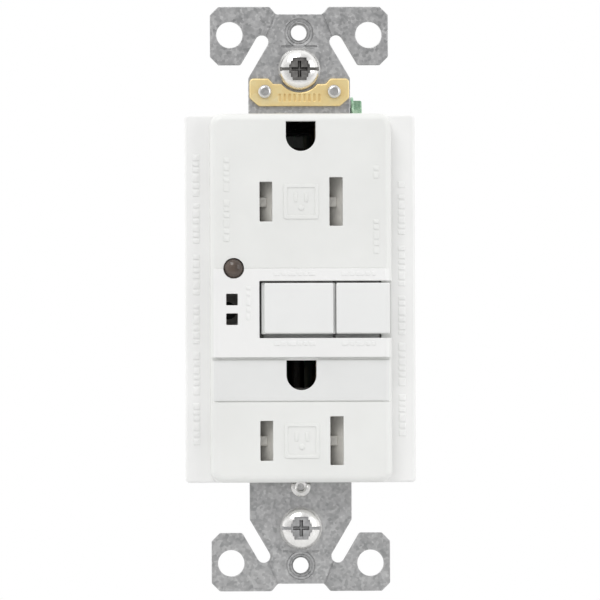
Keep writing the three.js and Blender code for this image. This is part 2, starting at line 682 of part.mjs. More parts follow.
function indicatorLens() {
  const [x, z] = LENS.at;
  const crown = [[0, -8.35], [0.9, -8.2], [1.5, -7.9]];
  const profile = [...crown, [LENS.radius, -7.5], [LENS.radius, -4.6], [0, -4.6]];
  const dome = turned(profile, 20).translate(x, 0, z);
  return joined(dome, rod("y", 1.2, [-4.7, 19.4], LENS.at, 12));
}

// ---------------------------------------------------------------- put together
add("front_cover", frontCover(), WHITE_PLASTIC);
add("contact_tray", tray(), TRAY_PLASTIC);
add("rear_housing", rearHousing(), GREY_PLASTIC);
columnPlaces().forEach((at, i) => add(`assembly_screw_${i + 1}`, assemblyScrew(at), BRIGHT_STEEL));

add("mounting_strap", mountingStrap(), GALVANISED);
add("grounding_clip", groundingClip(), BRASS);
add("clip_rivet_left", clipRivet(-1), GALVANISED);
add("clip_rivet_right", clipRivet(1), GALVANISED);
add("strap_rivet", strapRivet(), BRIGHT_STEEL);
for (const [name, end] of [["top", 1], ["bottom", -1]]) {
  const z = (end * SCREW_SPACING) / 2;
  const screw = add(`mounting_screw_${name}`, boxScrew(), BRIGHT_STEEL);
  screw.position.set(0, -STRAP.thick - GAP, z);
  add(`screw_retainer_${name}`, screwRetainer(z), FIBRE);
}
add("ground_screw", earthScrew(), GREEN_STEEL);

for (const [name, z] of Object.entries(OUTLETS)) {
  const springLength = 4.9;
  const spring = coil(0.95, springLength, 0.3, (g) => g.rotateZ(-Math.PI / 2).translate(9.4, -4.1, z));
  add(`ground_contact_${name}`, earthContact(z), BRASS);
  add(`shutter_${name}`, shutter(z), SMOKED_PLASTIC);
  add(`shutter_spring_${name}`, spring, BRIGHT_STEEL);
}

const springSeat = TRAY.front - GAP - 0.2;
const buttonSpring = (radius, [x, z]) =>
  coil(radius, springSeat + 2.7, 0.35, (g) => g.translate(x, -2.7, z));
add("reset_button", resetButton(), BUTTON_PLASTIC);
add("reset_plunger", resetPlunger(), BRIGHT_STEEL);
add("reset_spring", buttonSpring(1.9, RESET.stem), BRIGHT_STEEL);
add("test_button", testButton(), BUTTON_PLASTIC);
add("test_spring", buttonSpring(1.6, TEST.stem), BRIGHT_STEEL);
add("test_contact", testContact(), BRASS);

for (const [end, z] of [["line", TERMINAL_Z], ["load", -TERMINAL_Z]]) {
  for (const [pole, side, metal] of [["hot", -1, BRASS], ["neutral", 1, BRIGHT_STEEL]]) {
    add(`${end}_${pole}_terminal`, terminal(side, z), metal);
    add(`${end}_${pole}_clamp`, clampPlate(side, z), metal);
    add(`${end}_${pole}_screw`, terminalScrew(side, z), metal);
  }
}

add("hot_contact_strip", contactStrip(-1), BRASS);
add("neutral_contact_strip", contactStrip(1), BRASS);
add("hot_contact_arm", contactArm(-1), COPPER);
add("neutral_contact_arm", contactArm(1), COPPER);

add("latch_carrier", latchCarrier(), BLACK_PLASTIC);
add("latch_plate", latchPlate(), BRIGHT_STEEL);
add("solenoid_armature", armature(), BRIGHT_STEEL);
add("solenoid_frame", solenoidFrame(), GALVANISED);
add("solenoid_bobbin", solenoidBobbin(), BLACK_PLASTIC);
add("solenoid_coil", solenoidCoil(), COPPER);

add("circuit_board", circuitBoard(), BOARD_GREEN);
add("transformer_boot", transformerBoot(), BLACK_PLASTIC);
add("transformer_core", ring([4.0, 7.2], [14.3, 20.4], [0, 20]), FERRITE);
add("varistor", rod("x", 4.0, [-15.8, -12.4], [16.6, -4.0]), VARISTOR_BLUE);
add("capacitor", rod("y", 3.0, [13.5, 20.9], [14.0, 3.5]), BLACK_PLASTIC);
add("control_chip", box([4.6, 9.4], [19.6, 20.9], [3.0, 8.6]), BLACK_PLASTIC);
add("indicator_led", rod("y", 1.5, [19.7, 20.9], LENS.at, 12), LENS_PLASTIC);
add("indicator_lens", indicatorLens(), LENS_PLASTIC);
add("buzzer", rod("y", BUZZER.radius, [3.0, 7.0], BUZZER.at), BLACK_PLASTIC);

export default outlet;
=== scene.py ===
"""A ground-fault receptacle, dressed around its CAD frame.

Shapes are drawn in millimetres in the CAD frame: +X right, +Y into the wall, +Z up.
They are scaled to metres when they are placed.
"""

import math
from itertools import cycle

import bmesh
import bpy
from mathutils import Matrix, Vector


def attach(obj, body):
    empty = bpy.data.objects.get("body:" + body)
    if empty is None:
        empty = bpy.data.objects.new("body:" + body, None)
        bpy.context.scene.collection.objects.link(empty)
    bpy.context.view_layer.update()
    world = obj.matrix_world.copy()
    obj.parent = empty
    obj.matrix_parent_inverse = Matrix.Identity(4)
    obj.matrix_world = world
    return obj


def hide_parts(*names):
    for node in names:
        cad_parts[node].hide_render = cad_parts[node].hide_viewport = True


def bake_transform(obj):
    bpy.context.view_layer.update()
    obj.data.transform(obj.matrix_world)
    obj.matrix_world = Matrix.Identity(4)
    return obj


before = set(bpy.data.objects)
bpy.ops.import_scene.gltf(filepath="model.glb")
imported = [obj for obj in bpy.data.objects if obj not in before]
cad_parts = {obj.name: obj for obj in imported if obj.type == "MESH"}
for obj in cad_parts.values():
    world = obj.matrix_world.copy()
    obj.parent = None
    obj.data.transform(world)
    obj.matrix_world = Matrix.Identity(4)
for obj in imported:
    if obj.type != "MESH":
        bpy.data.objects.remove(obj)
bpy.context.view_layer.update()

MM = 0.001

# ------------------------------------------------------------------ dimensions, from the CAD
FACE = {"x": 16.4, "z": 33.4, "front": -7.6, "wall": 1.8, "corner": 2.2, "edge": 1.3}
WING = {"x": 20.9, "front": -3.4, "roof": 1.8, "edge": 0.5}
ZONES = {  # height range and front surface of each part of the face
    "upper": ((5.3, 34.0), -7.6),
    "module": ((-10.75, 5.3), -7.9),
    "lower": ((-34.0, -18.75), -7.6),
}
BAND_FRONT = -7.1
STRAP = {"thick": 1.3, "neck": 9.25, "end": 53.1, "ear": 16.2, "ear_bottom": 42.5, "hole": (12.65, 48.0)}
SCREW_Z = 41.67
PLATE_SCREW_Z = 48.42
HEAD_SEAT = -1.6  # the underside of the box screws' heads
SCREW_SLOT = 0.28  # half the width of a box screw's slot
SCREW_RECESS = ((1.3, 2.1), (1.6, 1.5), (1.9, 0.8))  # half sizes in x and z of its stepped well
CLIP_RIVET = (6.3, 37.6)
STRAP_RIVET_Z = -34.2
EARTH_SCREW = (9.6, 5.4, 33.4)
THREAD_PITCH = 0.794
OUTLET_Z = {"upper": 17.4, "lower": -25.85}
BLADE_X = 6.35
PIN_RISE = 11.85
BUTTON_HOLE_Z = (-7.3, 3.05)
BUTTON_Z = (-6.45, 2.65)
RESET_X = (-6.75, 5.8)
TEST_X = (6.3, 16.0)
RESET_STEM = (-0.5, -1.9)
TEST_STEM = (10.6, -1.9)
BUTTON_FRONT = -8.1
BUTTON_WALL = 1.2
SKIRT_FRONT = -6.9
LENS = (-12.22, 5.35, 1.8)
SOUND_HOLES = [(-12.55, -0.3), (-12.55, -3.85)]
HOUSING = {"x": 20.2, "z": 33.0, "back": 25.5, "seam": 19.6}
COLUMNS = [(x, z) for z in (26.9, -29.2) for x in (-13.6, 13.6)]
TERMINAL_Z = 17.0
TERMINAL_Y = 9.0


# ------------------------------------------------------------------ outlines in x and z
CORNER_STEPS = 5


def arc(centre, radius, start, end, steps):
    """Points on an arc, in degrees."""
    points = []
    for i in range(steps + 1):
        angle = math.radians(start + (end - start) * i / steps)
        points.append((centre[0] + radius * math.cos(angle), centre[1] + radius * math.sin(angle)))
    return points


def both(half):
    return (-half, half)


def circle(centre, radius, sides=40):
    return arc(centre, radius, 0, 360, sides)[:-1]


def rectangle(x, z, radius=0.0):
    if radius <= 0:
        return [(x[0], z[0]), (x[1], z[0]), (x[1], z[1]), (x[0], z[1])]
    corners = [(x[1] - radius, z[0] + radius, -90), (x[1] - radius, z[1] - radius, 0),
               (x[0] + radius, z[1] - radius, 90), (x[0] + radius, z[0] + radius, 180)]
    return [p for cx, cz, a in corners for p in arc((cx, cz), radius, a, a + 90, CORNER_STEPS)]


def centred(x, z, half_x, half_z, radius=0.0):
    return rectangle((x - half_x, x + half_x), (z - half_z, z + half_z), radius)


def pin_hole(z, radius):
    """The earth pin's hole: round below, square above."""
    return arc((0, z), radius, 180, 360, 20) + [(radius, z + radius), (-radius, z + radius)]


def filleted(corners):
    """A polygon of (x, z, radius) corners with each corner rounded."""
    outline = []
    for i, (x, z, radius) in enumerate(corners):
        here = Vector((x, z))
        if radius <= 0:
            outline.append((x, z))
            continue
        back = (Vector(corners[i - 1][:2]) - here).normalized()
        ahead = (Vector(corners[(i + 1) % len(corners)][:2]) - here).normalized()
        half = back.angle(ahead) / 2
        centre = here + (back + ahead).normalized() * radius / math.sin(half)
        start = here + back * radius / math.tan(half) - centre
        turn = start.angle_signed(here + ahead * radius / math.tan(half) - centre)
        for j in range(CORNER_STEPS + 1):
            spoke = Matrix.Rotation(-turn * j / CORNER_STEPS, 2) @ start
            outline.append(tuple(centre + spoke))
    return outline


def inset(outline, distance):
    """The outline, given anticlockwise, moved inwards by distance."""
    if distance == 0:
        return list(outline)
    points = []
    for i, point in enumerate(outline):
        here = Vector(point)
        before = (here - Vector(outline[i - 1])).normalized()
        after = (Vector(outline[(i + 1) % len(outline)]) - here).normalized()
        inward = Vector((-before.y - after.y, before.x + after.x))
        points.append(tuple(here + inward * distance / (1 + before.dot(after))))
    return points


# ------------------------------------------------------------------ solids, as objects in mm
def solid(verts, faces):
    mesh = bpy.data.meshes.new("work")
    mesh.from_pydata([tuple(v) for v in verts], [], faces)
    made = bmesh.new()
    made.from_mesh(mesh)
    bmesh.ops.remove_doubles(made, verts=made.verts, dist=1e-5)
    bmesh.ops.recalc_face_normals(made, faces=made.faces)
    made.to_mesh(mesh)
    made.free()
    shape = bpy.data.objects.new("work", mesh)
    bpy.context.scene.collection.objects.link(shape)
    return shape


def stack(outline, levels):
    """A solid through copies of an outline: levels are (inset, y), from front to back."""
    rings = [[(x, y, z) for x, z in inset(outline, amount)] for amount, y in levels]
    count = len(outline)
    faces = [tuple(range(count)), tuple(reversed(range(count * (len(rings) - 1), count * len(rings))))]
    for ring in range(len(rings) - 1):
        for i in range(count):
            j = (i + 1) % count
            low, high = ring * count, (ring + 1) * count
            faces.append((low + i, high + i, high + j, low + j))
    return solid([point for ring in rings for point in ring], faces)


def rounding(radius, y, step, steps):
    """Levels of a rounded edge that starts on the surface at y; step is +1 going in, -1 coming out."""
    if radius == 0:
        return [(0.0, y)]
    angles = [math.pi / 2 * i / steps for i in range(steps + 1)]
    return [(radius * (1 - math.sin(a)), y + step * abs(radius) * (1 - math.cos(a))) for a in angles]


def slab(outline, y0, y1, front=0.0, back=0.0, steps=5):
    """A plate from y0 to y1 with rounded front and back edges."""
    return stack(outline, rounding(front, y0, 1, steps) + rounding(back, y1, -1, steps)[::-1])


def drill(outline, y0, y1, lip=0.12):
    """A tool that opens a hole from the surface at y0 down to y1, with a rounded lip of that radius."""
    return stack(outline, [(-lip, y0 - 3), *rounding(-lip, y0, 1, 4), (0.0, y1)])


def block(x, y, z):
    return stack(rectangle(x, z), [(0, y[0]), (0, y[1])])


def turned(profile, sides=40):
    """A solid of revolution about the y axis; profile lists (radius, y) and starts and ends at radius 0."""
    verts, faces = [], []
    for radius, y in profile:
        verts += [(radius * math.cos(math.tau * i / sides), y, radius * math.sin(math.tau * i / sides))
                  for i in range(sides)]
    for ring in range(len(profile) - 1):
        for i in range(sides):
            j = (i + 1) % sides
            low, high = ring * sides, (ring + 1) * sides
            faces.append((low + i, high + i, high + j, low + j))
    return solid(verts, faces)


def threaded(radius, y0, y1, pitch, sides=24, rows_per_turn=6):
    """A screw thread along y, running out at its far end."""
    depth = 0.45 * pitch
    rows = int((y1 - y0) / pitch * rows_per_turn)
    profile_rows = []
    for row in range(rows + 1):
        y = y0 + (y1 - y0) * row / rows
        taper = min(1.0, (y1 - y) / 1.2) * 0.35 + 0.65
        ring = []
        for i in range(sides):
            phase = (y / pitch - i / sides) % 1.0
            reach = taper * (radius - depth * abs(2 * phase - 1) ** 0.8)
            ring.append((reach * math.cos(math.tau * i / sides), y, reach * math.sin(math.tau * i / sides)))
        profile_rows.append(ring)
    verts = [v for ring in profile_rows for v in ring]
    faces = [tuple(range(sides)), tuple(reversed(range(rows * sides, (rows + 1) * sides)))]
    for row in range(rows):
        for i in range(sides):
            j = (i + 1) % sides
            low, high = row * sides, (row + 1) * sides
            faces.append((low + i, high + i, high + j, low + j))
    return solid(verts, faces)


def combined(base, tools, operation):
    """Boolean of the base with each tool; the tools are used up."""
    for tool in tools:
        modifier = base.modifiers.new("boolean", "BOOLEAN")
        modifier.object = tool
        modifier.operation = operation
        modifier.solver = "EXACT"
    seen = bpy.context.evaluated_depsgraph_get()
    mesh = bpy.data.meshes.new_from_object(base.evaluated_get(seen))
    base.modifiers.clear()
    base.data = mesh
    for tool in tools:
        bpy.data.objects.remove(tool)
    return base


def cut(base, *tools):
    return combined(base, tools, "DIFFERENCE")


def fused(base, *others):
    return combined(base, others, "UNION")


def common(base, *others):
    return combined(base, others, "INTERSECT")


def gathered(*shapes):
    """Separate solids held in one object."""
    made = bmesh.new()
    for shape in shapes:
        made.from_mesh(shape.data)
        bpy.data.objects.remove(shape)
    mesh = bpy.data.meshes.new("work")
    made.to_mesh(mesh)
    made.free()
    whole = bpy.data.objects.new("work", mesh)
    bpy.context.scene.collection.objects.link(whole)
    return whole


def moved(shape, offset=(0, 0, 0), turn=None):
    """The shape turned about the origin, then moved, in mm."""
    if turn:
        shape.data.transform(Matrix.Rotation(math.radians(turn[1]), 4, turn[0]))
    shape.data.transform(Matrix.Translation(offset))
    return shape


def round_off(shape):
    """Smooth shading that keeps every edge of more than 32 degrees sharp."""
    shape.data.polygons.foreach_set("use_smooth", [True] * len(shape.data.polygons))
    shape.data.set_sharp_from_angle(angle=math.radians(32))


def weigh_normals(shape):
    weighted = shape.modifiers.new("weighted normals", "WEIGHTED_NORMAL")
    weighted.keep_sharp = True


def smooth(shape):
    round_off(shape)
    weigh_normals(shape)


def smooth_flats(shape, width=0.0):
    """Smooth shading with whole flat faces, and edges eased by a width in mm."""
    round_off(shape)
    flat = shape.modifiers.new("flats", "DECIMATE")
    flat.decimate_type = "DISSOLVE"
    flat.angle_limit = math.radians(0.6)
    if width:
        bevel = shape.modifiers.new("eased edges", "BEVEL")
        bevel.width = width * MM
        bevel.segments = 2
        bevel.limit_method = "ANGLE"
        bevel.angle_limit = math.radians(40)
        bevel.harden_normals = False
    weigh_normals(shape)


def finish(name, shape, material, nodes, shade=smooth):
    """Turns a worked shape in mm into a finished piece in metres that stands for CAD nodes."""
    shape.name = name
    shape.data.name = name
    shape.data.transform(Matrix.Scale(MM, 4))
    shape.data.materials.clear()
    shape.data.materials.append(material)
    shade(shape)
    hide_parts(*nodes)
    return shape


def place(name, shape, material, body, nodes, shade=smooth):
    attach(finish(name, shape, material, nodes, shade), body)
    return shape


def place_spring(node, axis):
    """A CAD spring copied as a finished wire piece in place of its node, attached to no body; its ends along
    an axis by number are found but not used.
    """
    shape = baked(node)
    reach = [vertex.co[axis] * MM for vertex in shape.data.vertices]
    finish(f"{node}_wire", shape, WIRE_STEEL, [node])
    start, end = Vector(), Vector()
    start[axis], end[axis] = min(reach), max(reach)
    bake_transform(shape)


def baked(node):
    """A copy of a CAD node with its modifiers applied, as a work shape in mm."""
    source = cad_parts[node]
    seen = bpy.context.evaluated_depsgraph_get()
    mesh = bpy.data.meshes.new_from_object(source.evaluated_get(seen))
    mesh.transform(Matrix.Scale(1 / MM, 4) @ source.matrix_world)
    shape = bpy.data.objects.new("work", mesh)
    bpy.context.scene.collection.objects.link(shape)
    return shape


def soften(node, material, width):
    """A CAD node kept as it is, with edges eased by a width in mm and a finished material."""
    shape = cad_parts[node]
    shape.data.materials.clear()
    shape.data.materials.append(material)
    smooth_flats(shape, width)


# ------------------------------------------------------------------ materials
class Look:
    """A procedural material: small helpers round one node tree."""

    def __init__(self, name, metallic=0.0, **sockets):
        self.material = bpy.data.materials.new(name)
        self.material.use_nodes = True
        self.tree = self.material.node_tree
        self.shader = self.tree.nodes["Principled BSDF"]
        self.shader.inputs["Metallic"].default_value = metallic
        for socket, value in sockets.items():
            self.shader.inputs[socket.replace("_", " ")].default_value = value
        self.place = self.tree.nodes.new("ShaderNodeTexCoord").outputs["Object"]

    def add(self, kind, inputs, **settings):
        """A node with its inputs set to values or linked to sockets."""
        node = self.tree.nodes.new(kind)
        for key, value in settings.items():
            setattr(node, key, value)
        for key, value in inputs.items():
            if isinstance(value, bpy.types.NodeSocket):
                self.tree.links.new(value, node.inputs[key])
            else:
                node.inputs[key].default_value = value
        return node

    def stretched(self, scale):
        return self.add("ShaderNodeMapping", {"Vector": self.place, "Scale": scale}).outputs["Vector"]

    def noise(self, scale, detail=3.0, where=None):
        inputs = {"Vector": where or self.place, "Scale": scale, "Detail": detail}
        return self.add("ShaderNodeTexNoise", inputs).outputs["Fac"]

    def cells(self, scale):
        """A random grey for each cell of a broken-up surface."""
        inputs = {"Vector": self.place, "Scale": scale}
        colour = self.add("ShaderNodeTexVoronoi", inputs).outputs["Color"]
        return self.add("ShaderNodeRGBToBW", {"Color": colour}).outputs["Val"]

    def average(self, first, second, share):
        inputs = {"Factor": share, "A": first, "B": second}
        return self.add("ShaderNodeMix", inputs, data_type="FLOAT").outputs["Result"]

    def ramp(self, value, stops):
        node = self.add("ShaderNodeValToRGB", {"Fac": value})
        elements = node.color_ramp.elements
        while len(elements) < len(stops):
            elements.new(0.5)
        for element, (position, colour) in zip(elements, stops):
            element.position = position
            element.color = (*colour, 1.0)
        return node.outputs["Color"]

    def spread(self, value, low, high):
        inputs = {"Value": value, "From Min": 0.25, "From Max": 0.75, "To Min": low, "To Max": high}
        return self.add("ShaderNodeMapRange", inputs).outputs["Result"]

    def colour(self, value, *stops):
        self.tree.links.new(self.ramp(value, stops), self.shader.inputs["Base Color"])
        return self

    def rough(self, value, low, high):
        self.tree.links.new(self.spread(value, low, high), self.shader.inputs["Roughness"])
        return self

    def bump(self, height, depth_mm):
        """Adds the relief, and gives the finished material."""
        inputs = {"Height": height, "Strength": 1.0, "Distance": depth_mm * MM}
        normal = self.add("ShaderNodeBump", inputs).outputs["Normal"]
        self.tree.links.new(normal, self.shader.inputs["Normal"])
        return self.material


COOL = (0.96, 1, 1.03)
WARM = (1, 0.96, 0.92)
CREAM = (1, 0.98, 0.93)
NICKEL = (1, 0.99, 0.97)


def grey(level, tint=(1.0, 1.0, 1.0)):
    return tuple(level * t for t in tint)


def moulded(name, dark, light, rough=(0.28, 0.4), grain=0.004):
    """Injection-moulded plastic: faint flow marks, a fine tool grain and an uneven sheen."""
    look = Look(name, IOR=1.5)
    flow = look.noise(90, 4.0)
    return look.colour(flow, (0.3, dark), (0.7, light)).rough(look.noise(700, 3.0), *rough).bump(
        look.noise(4200, 2.0), grain)


def plated(name, dark, light, rough, grain=(1, 1, 1), metallic=1.0):
    """Plated or rolled metal with handling marks."""
    look = Look(name, metallic=metallic)
    wear = look.average(look.noise(260, 5.0), look.noise(1500, 3.0, look.stretched(grain)), 0.5)
    return look.colour(wear, (0.3, dark), (0.7, light)).rough(wear, *rough).bump(
        look.noise(2600, 4.0, look.stretched(grain)), 0.003)


def galvanised():
    """Zinc-coated sheet: angular spangles, dull bloom and fine scratches."""
    look = Look("zinc_coated_steel", metallic=1.0)
    spangle = look.average(look.cells(2000), look.noise(520, 6.0), 0.6)
    look.colour(spangle, (0.25, (0.37, 0.375, 0.375)), (0.5, (0.51, 0.51, 0.51)), (0.8, (0.68, 0.68, 0.675)))
    look.rough(look.average(spangle, look.noise(1900, 2.0), 0.3), 0.36, 0.5)
    return look.bump(look.noise(1500, 5.0), 0.008)


def stamped_brass():
    look = Look("stamped_brass", metallic=0.6)
    tarnish = look.average(look.noise(320, 5.0), look.cells(900), 0.25)
    look.colour(tarnish, (0.25, (0.86, 0.65, 0.3)), (0.55, (0.95, 0.76, 0.38)), (0.8, (0.98, 0.84, 0.5)))
    look.rough(tarnish, 0.46, 0.34)
    return look.bump(look.noise(1300, 4.0), 0.008)


def winding():
    """Enamelled wire wound round z."""
    look = Look("enamelled_wire", metallic=0.8, Coat_Weight=0.4)
    inputs = {"Vector": look.place, "Scale": 900.0, "Distortion": 0.6}
    wire = look.add("ShaderNodeTexWave", inputs, bands_direction="Z").outputs["Fac"]
    look.colour(wire, (0.1, (0.12, 0.035, 0.012)), (0.9, (0.42, 0.15, 0.06)))
    look.rough(look.noise(800), 0.25, 0.4)
    return look.bump(wire, 0.08)


def board_look():
    """Green board with faint copper runs under the lacquer."""
    look = Look("circuit_board_lacquer", Coat_Weight=0.5)
    inputs = {"Vector": look.place, "Scale": 300.0, "Color1": (0, 0, 0, 1), "Color2": (0.2, 0.2, 0.2, 1),
              "Mortar": (1, 1, 1, 1), "Mortar Size": 0.04}
    runs = look.add("ShaderNodeTexBrick", inputs).outputs["Fac"]
    look.colour(look.average(runs, look.noise(200), 0.4), (0.2, (0.01, 0.08, 0.03)), (0.8, (0.05, 0.24, 0.1)))
    look.rough(look.noise(900), 0.3, 0.45)
    return look.bump(runs, 0.03)


def smoked(name, dark, light, transmission, rough=(0.12, 0.25)):
    """Tinted clear plastic."""
    look = Look(name, IOR=1.49, Transmission_Weight=transmission)
    return look.colour(look.noise(500, 3.0), (0.3, dark), (0.7, light)).rough(look.noise(900), *rough).bump(
        look.noise(1800, 2.0), 0.004)


WHITE = moulded("moulded_white_plastic", (0.79, 0.795, 0.775), (0.83, 0.835, 0.815))
# Lit and shaded copies of the same white plastic: painted light on the raised panel and the wings, painted
# shade on the sunk band.
MODULE_WHITE_PAINTED_LIGHT = moulded("module_painted_light_plastic", (0.84, 0.84, 0.83), (0.88, 0.88, 0.87))
BAND_WHITE_PAINTED_SHADE = moulded("band_painted_shade_plastic", (0.755, 0.76, 0.75), (0.795, 0.8, 0.79))
WING_WHITE_PAINTED_LIGHT = moulded("wing_painted_light_plastic", (0.86, 0.86, 0.85), (0.9, 0.9, 0.89))
BUTTON_WHITE = moulded("button_plastic", (0.81, 0.815, 0.805), (0.835, 0.84, 0.83), (0.32, 0.36), 0.002)
GREY = moulded("housing_plastic", grey(0.22, COOL), grey(0.245, COOL), (0.45, 0.62), 0.02)
TRAY = moulded("tray_plastic", grey(0.58, CREAM), grey(0.68, CREAM), (0.4, 0.55), 0.008)
BLACK = moulded("black_plastic", grey(0.012), grey(0.025), (0.35, 0.5), 0.01)
PAPER = moulded("label_paper", grey(0.62, (1, 1, 0.98)), grey(0.72, (1, 1, 0.98)), (0.35, 0.5), 0.004)
INK = moulded("label_ink", grey(0.03), grey(0.07), (0.4, 0.6), 0.004)
SOUNDER = moulded("sounder_case", grey(0.065), grey(0.1), (0.4, 0.55), 0.01)
FERRITE = moulded("sintered_core", grey(0.025, WARM), grey(0.05, WARM), (0.6, 0.8), 0.02)
BLUE = moulded("dipped_coating", (0.02, 0.08, 0.3), (0.05, 0.14, 0.42), (0.3, 0.45), 0.03)
FIBRE = moulded("pressed_fibre", (0.38, 0.29, 0.18), (0.52, 0.42, 0.28), (0.75, 0.9), 0.04)
SHUTTER = smoked("shutter_plastic", (0.66, 0.64, 0.6), (0.8, 0.78, 0.73), 0.05)
LENS_LOOK = smoked("smoked_lens", (0.06, 0.045, 0.038), (0.2, 0.15, 0.12), 0.35, (0.05, 0.12))
ZINC = galvanised()
STEEL = plated("nickel_plated_steel", grey(0.55, NICKEL), grey(0.82, NICKEL), (0.12, 0.3))
SCREW_STEEL = plated("zinc_plated_screw", grey(0.8, NICKEL), grey(0.95, NICKEL), (0.16, 0.3), metallic=0.85)
# Painted shade for the box screws' slots and recesses: near black on the top screw, mid grey on the bottom
# one.
RECESS_PAINTED_DEEP_SHADE = plated("recess_painted_deep_shade", grey(0.16, (1, 0.97, 0.93)), grey(0.34, (1, 0.97, 0.93)), (0.3, 0.5))
RECESS_PAINTED_LIGHT_SHADE = plated("recess_painted_light_shade", grey(0.4), grey(0.62), (0.3, 0.5))
WIRE_STEEL = plated("drawn_spring_wire", grey(0.4), grey(0.62), (0.25, 0.4), (1, 6, 1))
BRASS = stamped_brass()
CONTACT = plated("rolled_contact_brass", (0.6, 0.42, 0.17), (0.85, 0.68, 0.35), (0.22, 0.36), (1, 1, 0.1))
IRON = plated("turned_iron", grey(0.2), grey(0.32), (0.5, 0.65), (6, 6, 1))
COPPER = plated("contact_copper", (0.5, 0.2, 0.1), (0.8, 0.42, 0.24), (0.25, 0.4), (1, 1, 0.1))
GREEN = plated("green_plated_steel", (0.17, 0.38, 0.24), (0.5, 0.68, 0.5), (0.18, 0.32))
WINDING = winding()
BOARD = board_look()


# ------------------------------------------------------------------ front cover
def face_outline():
    return rectangle(both(FACE["x"]), both(FACE["z"]), FACE["corner"])


def face_zone(heights, front):
    """One part of the face, its outer edge well rounded and its inner borders crisp."""
    outer = slab(face_outline(), front, WING["front"] + 1, front=FACE["edge"])
    wider = FACE["x"] + 1.6
    return common(slab(rectangle(both(wider), heights), front, WING["front"] + 0.9, front=0.15), outer)


def blade_slots(z, y1):
    """An outlet's two slots, the taller for the neutral blade."""
    return [drill(centred(-BLADE_X, z, 1.15, 3.6, 0.15), FACE["front"], y1),
            drill(centred(BLADE_X, z, 1.2, 4.4, 0.15), FACE["front"], y1)]


def badge(z):
    """A plain raised frame with a generic outlet sign: two bars over a dot."""
    front, root = FACE["front"] - 0.2, FACE["front"] + 0.1
    ring = cut(slab(centred(0, z, 3.15, 3.15, 0.4), front, root, front=0.1, steps=2),
               drill(centred(0, z, 2.55, 2.55, 0.3), front, root + 1, 0.1))
    marks = [slab(centred(x, z + 0.75, 0.28, 0.8, 0.1), front, root, front=0.08, steps=2)
             for x in both(0.95)]
    dot = slab(circle((0, z - 1.1), 0.5, 24), front, root, front=0.08, steps=2)
    return [ring, gathered(*marks, dot)]


def dashes(middle, start, end, half_width):
    """Plain dashes of uneven length between two heights, in place of moulded words."""
    gap = 0.34
    outlines = []
    z = start
    for i, half in enumerate(cycle((0.32, 0.55, 0.42, 0.7, 0.38))):
        if z + 2 * half > end:
            return outlines
        if i % 7:
            outlines.append(centred(middle, z + half, half_width, half, 0.08))
        z += 2 * half + gap


def dash_row(z, start, end, half_height):
    """The same dashes lying along x at one height."""
    return [[(x, z2) for z2, x in outline][::-1] for outline in dashes(z, start, end, half_height)]


def raised(outlines, front, height):
    return [slab(o, front - height, front + 0.1, front=0.6 * height, steps=2) for o in outlines]


def moulded_marks():
    """Low raised dashes where the moulding carries words."""
    module_front = ZONES["module"][1]
    wings = dashes(-18.9, -27.5, 26.5, 0.6) + dashes(18.4, -26.0, 22.0, 0.6)
    face = dashes(-13.5, 9.2, 26.0, 0.5) + dashes(13.6, 20.6, 25.2, 0.5) + dashes(13.6, 7.0, 15.2, 0.5)
    beside_holes = dashes(-9.6, -5.0, 2.6, 0.4)
    rows = [outline for z in (4.35, -8.3) for x in ((-6.0, 2.8), (6.3, 13.6))
            for outline in dash_row(z, *x, 0.36)]
    return gathered(*raised(wings, WING["front"], 0.15), *raised(face, FACE["front"], 0.11),
                    *raised(beside_holes + rows, module_front, 0.11))


def cover_shell():
    """The face and wings, hollowed from behind."""
    inside = both(FACE["z"] - 1.0)
    band = slab(face_outline(), BAND_FRONT, WING["front"] + 1, front=FACE["edge"])
    wings = slab(rectangle(both(WING["x"]), both(FACE["z"]), 0.8), WING["front"], 0,
                 front=WING["edge"], back=0.1)
    shell = fused(wings, band, *[face_zone(*zone) for zone in ZONES.values()])
    return cut(shell,
               block(both(FACE["x"] - FACE["wall"]), (FACE["front"] + FACE["wall"], 1), inside),
               block(both(WING["x"] - WING["roof"]), (WING["front"] + WING["roof"], 1), inside))


def cover():
    shell = cover_shell()
    bosses = [slab(circle(at, 2.2), FACE["front"] + 1, 0) for at in COLUMNS]
    shell = fused(shell, gathered(*bosses), *badge(OUTLET_Z["upper"]), *badge(OUTLET_Z["lower"]),
                  moulded_marks())
    module_front = ZONES["module"][1]
    past_face = both(FACE["x"] + 1)
    openings = [
        *[tool for z in OUTLET_Z.values() for tool in blade_slots(z, 1)],
        drill(pin_hole(OUTLET_Z["upper"] + PIN_RISE, 2.7), FACE["front"], 1, 0.2),
        drill(pin_hole(OUTLET_Z["lower"] + PIN_RISE, 2.7), BAND_FRONT, 1, 0.2),
        drill(rectangle((-7.6, FACE["x"] + 2), BUTTON_HOLE_Z, 0.2), module_front, -4.7, 0.15),
        block(past_face, (FACE["front"] - 1, BAND_FRONT + 0.25), (-18.88, -18.62)),
        block(past_face, (BAND_FRONT - 0.2, BAND_FRONT + 0.35), (-11.3, -10.8)),
        drill(circle(LENS[:2], LENS[2] + 0.07), module_front, 1, 0.15),
        *[drill(centred(*at, 1.05, 1.05, 0.15), module_front, 1, 0.1) for at in SOUND_HOLES],
        block(both(STRAP["neck"] + 0.3), (-1.6, 1), both(40)),
        block(both(2.2), (-2.5, 1), (-40, -31)),
        gathered(*[slab(circle(at, 1.35), FACE["front"] + 2.5, 1) for at in COLUMNS]),
    ]
    return cut(shell, *openings)


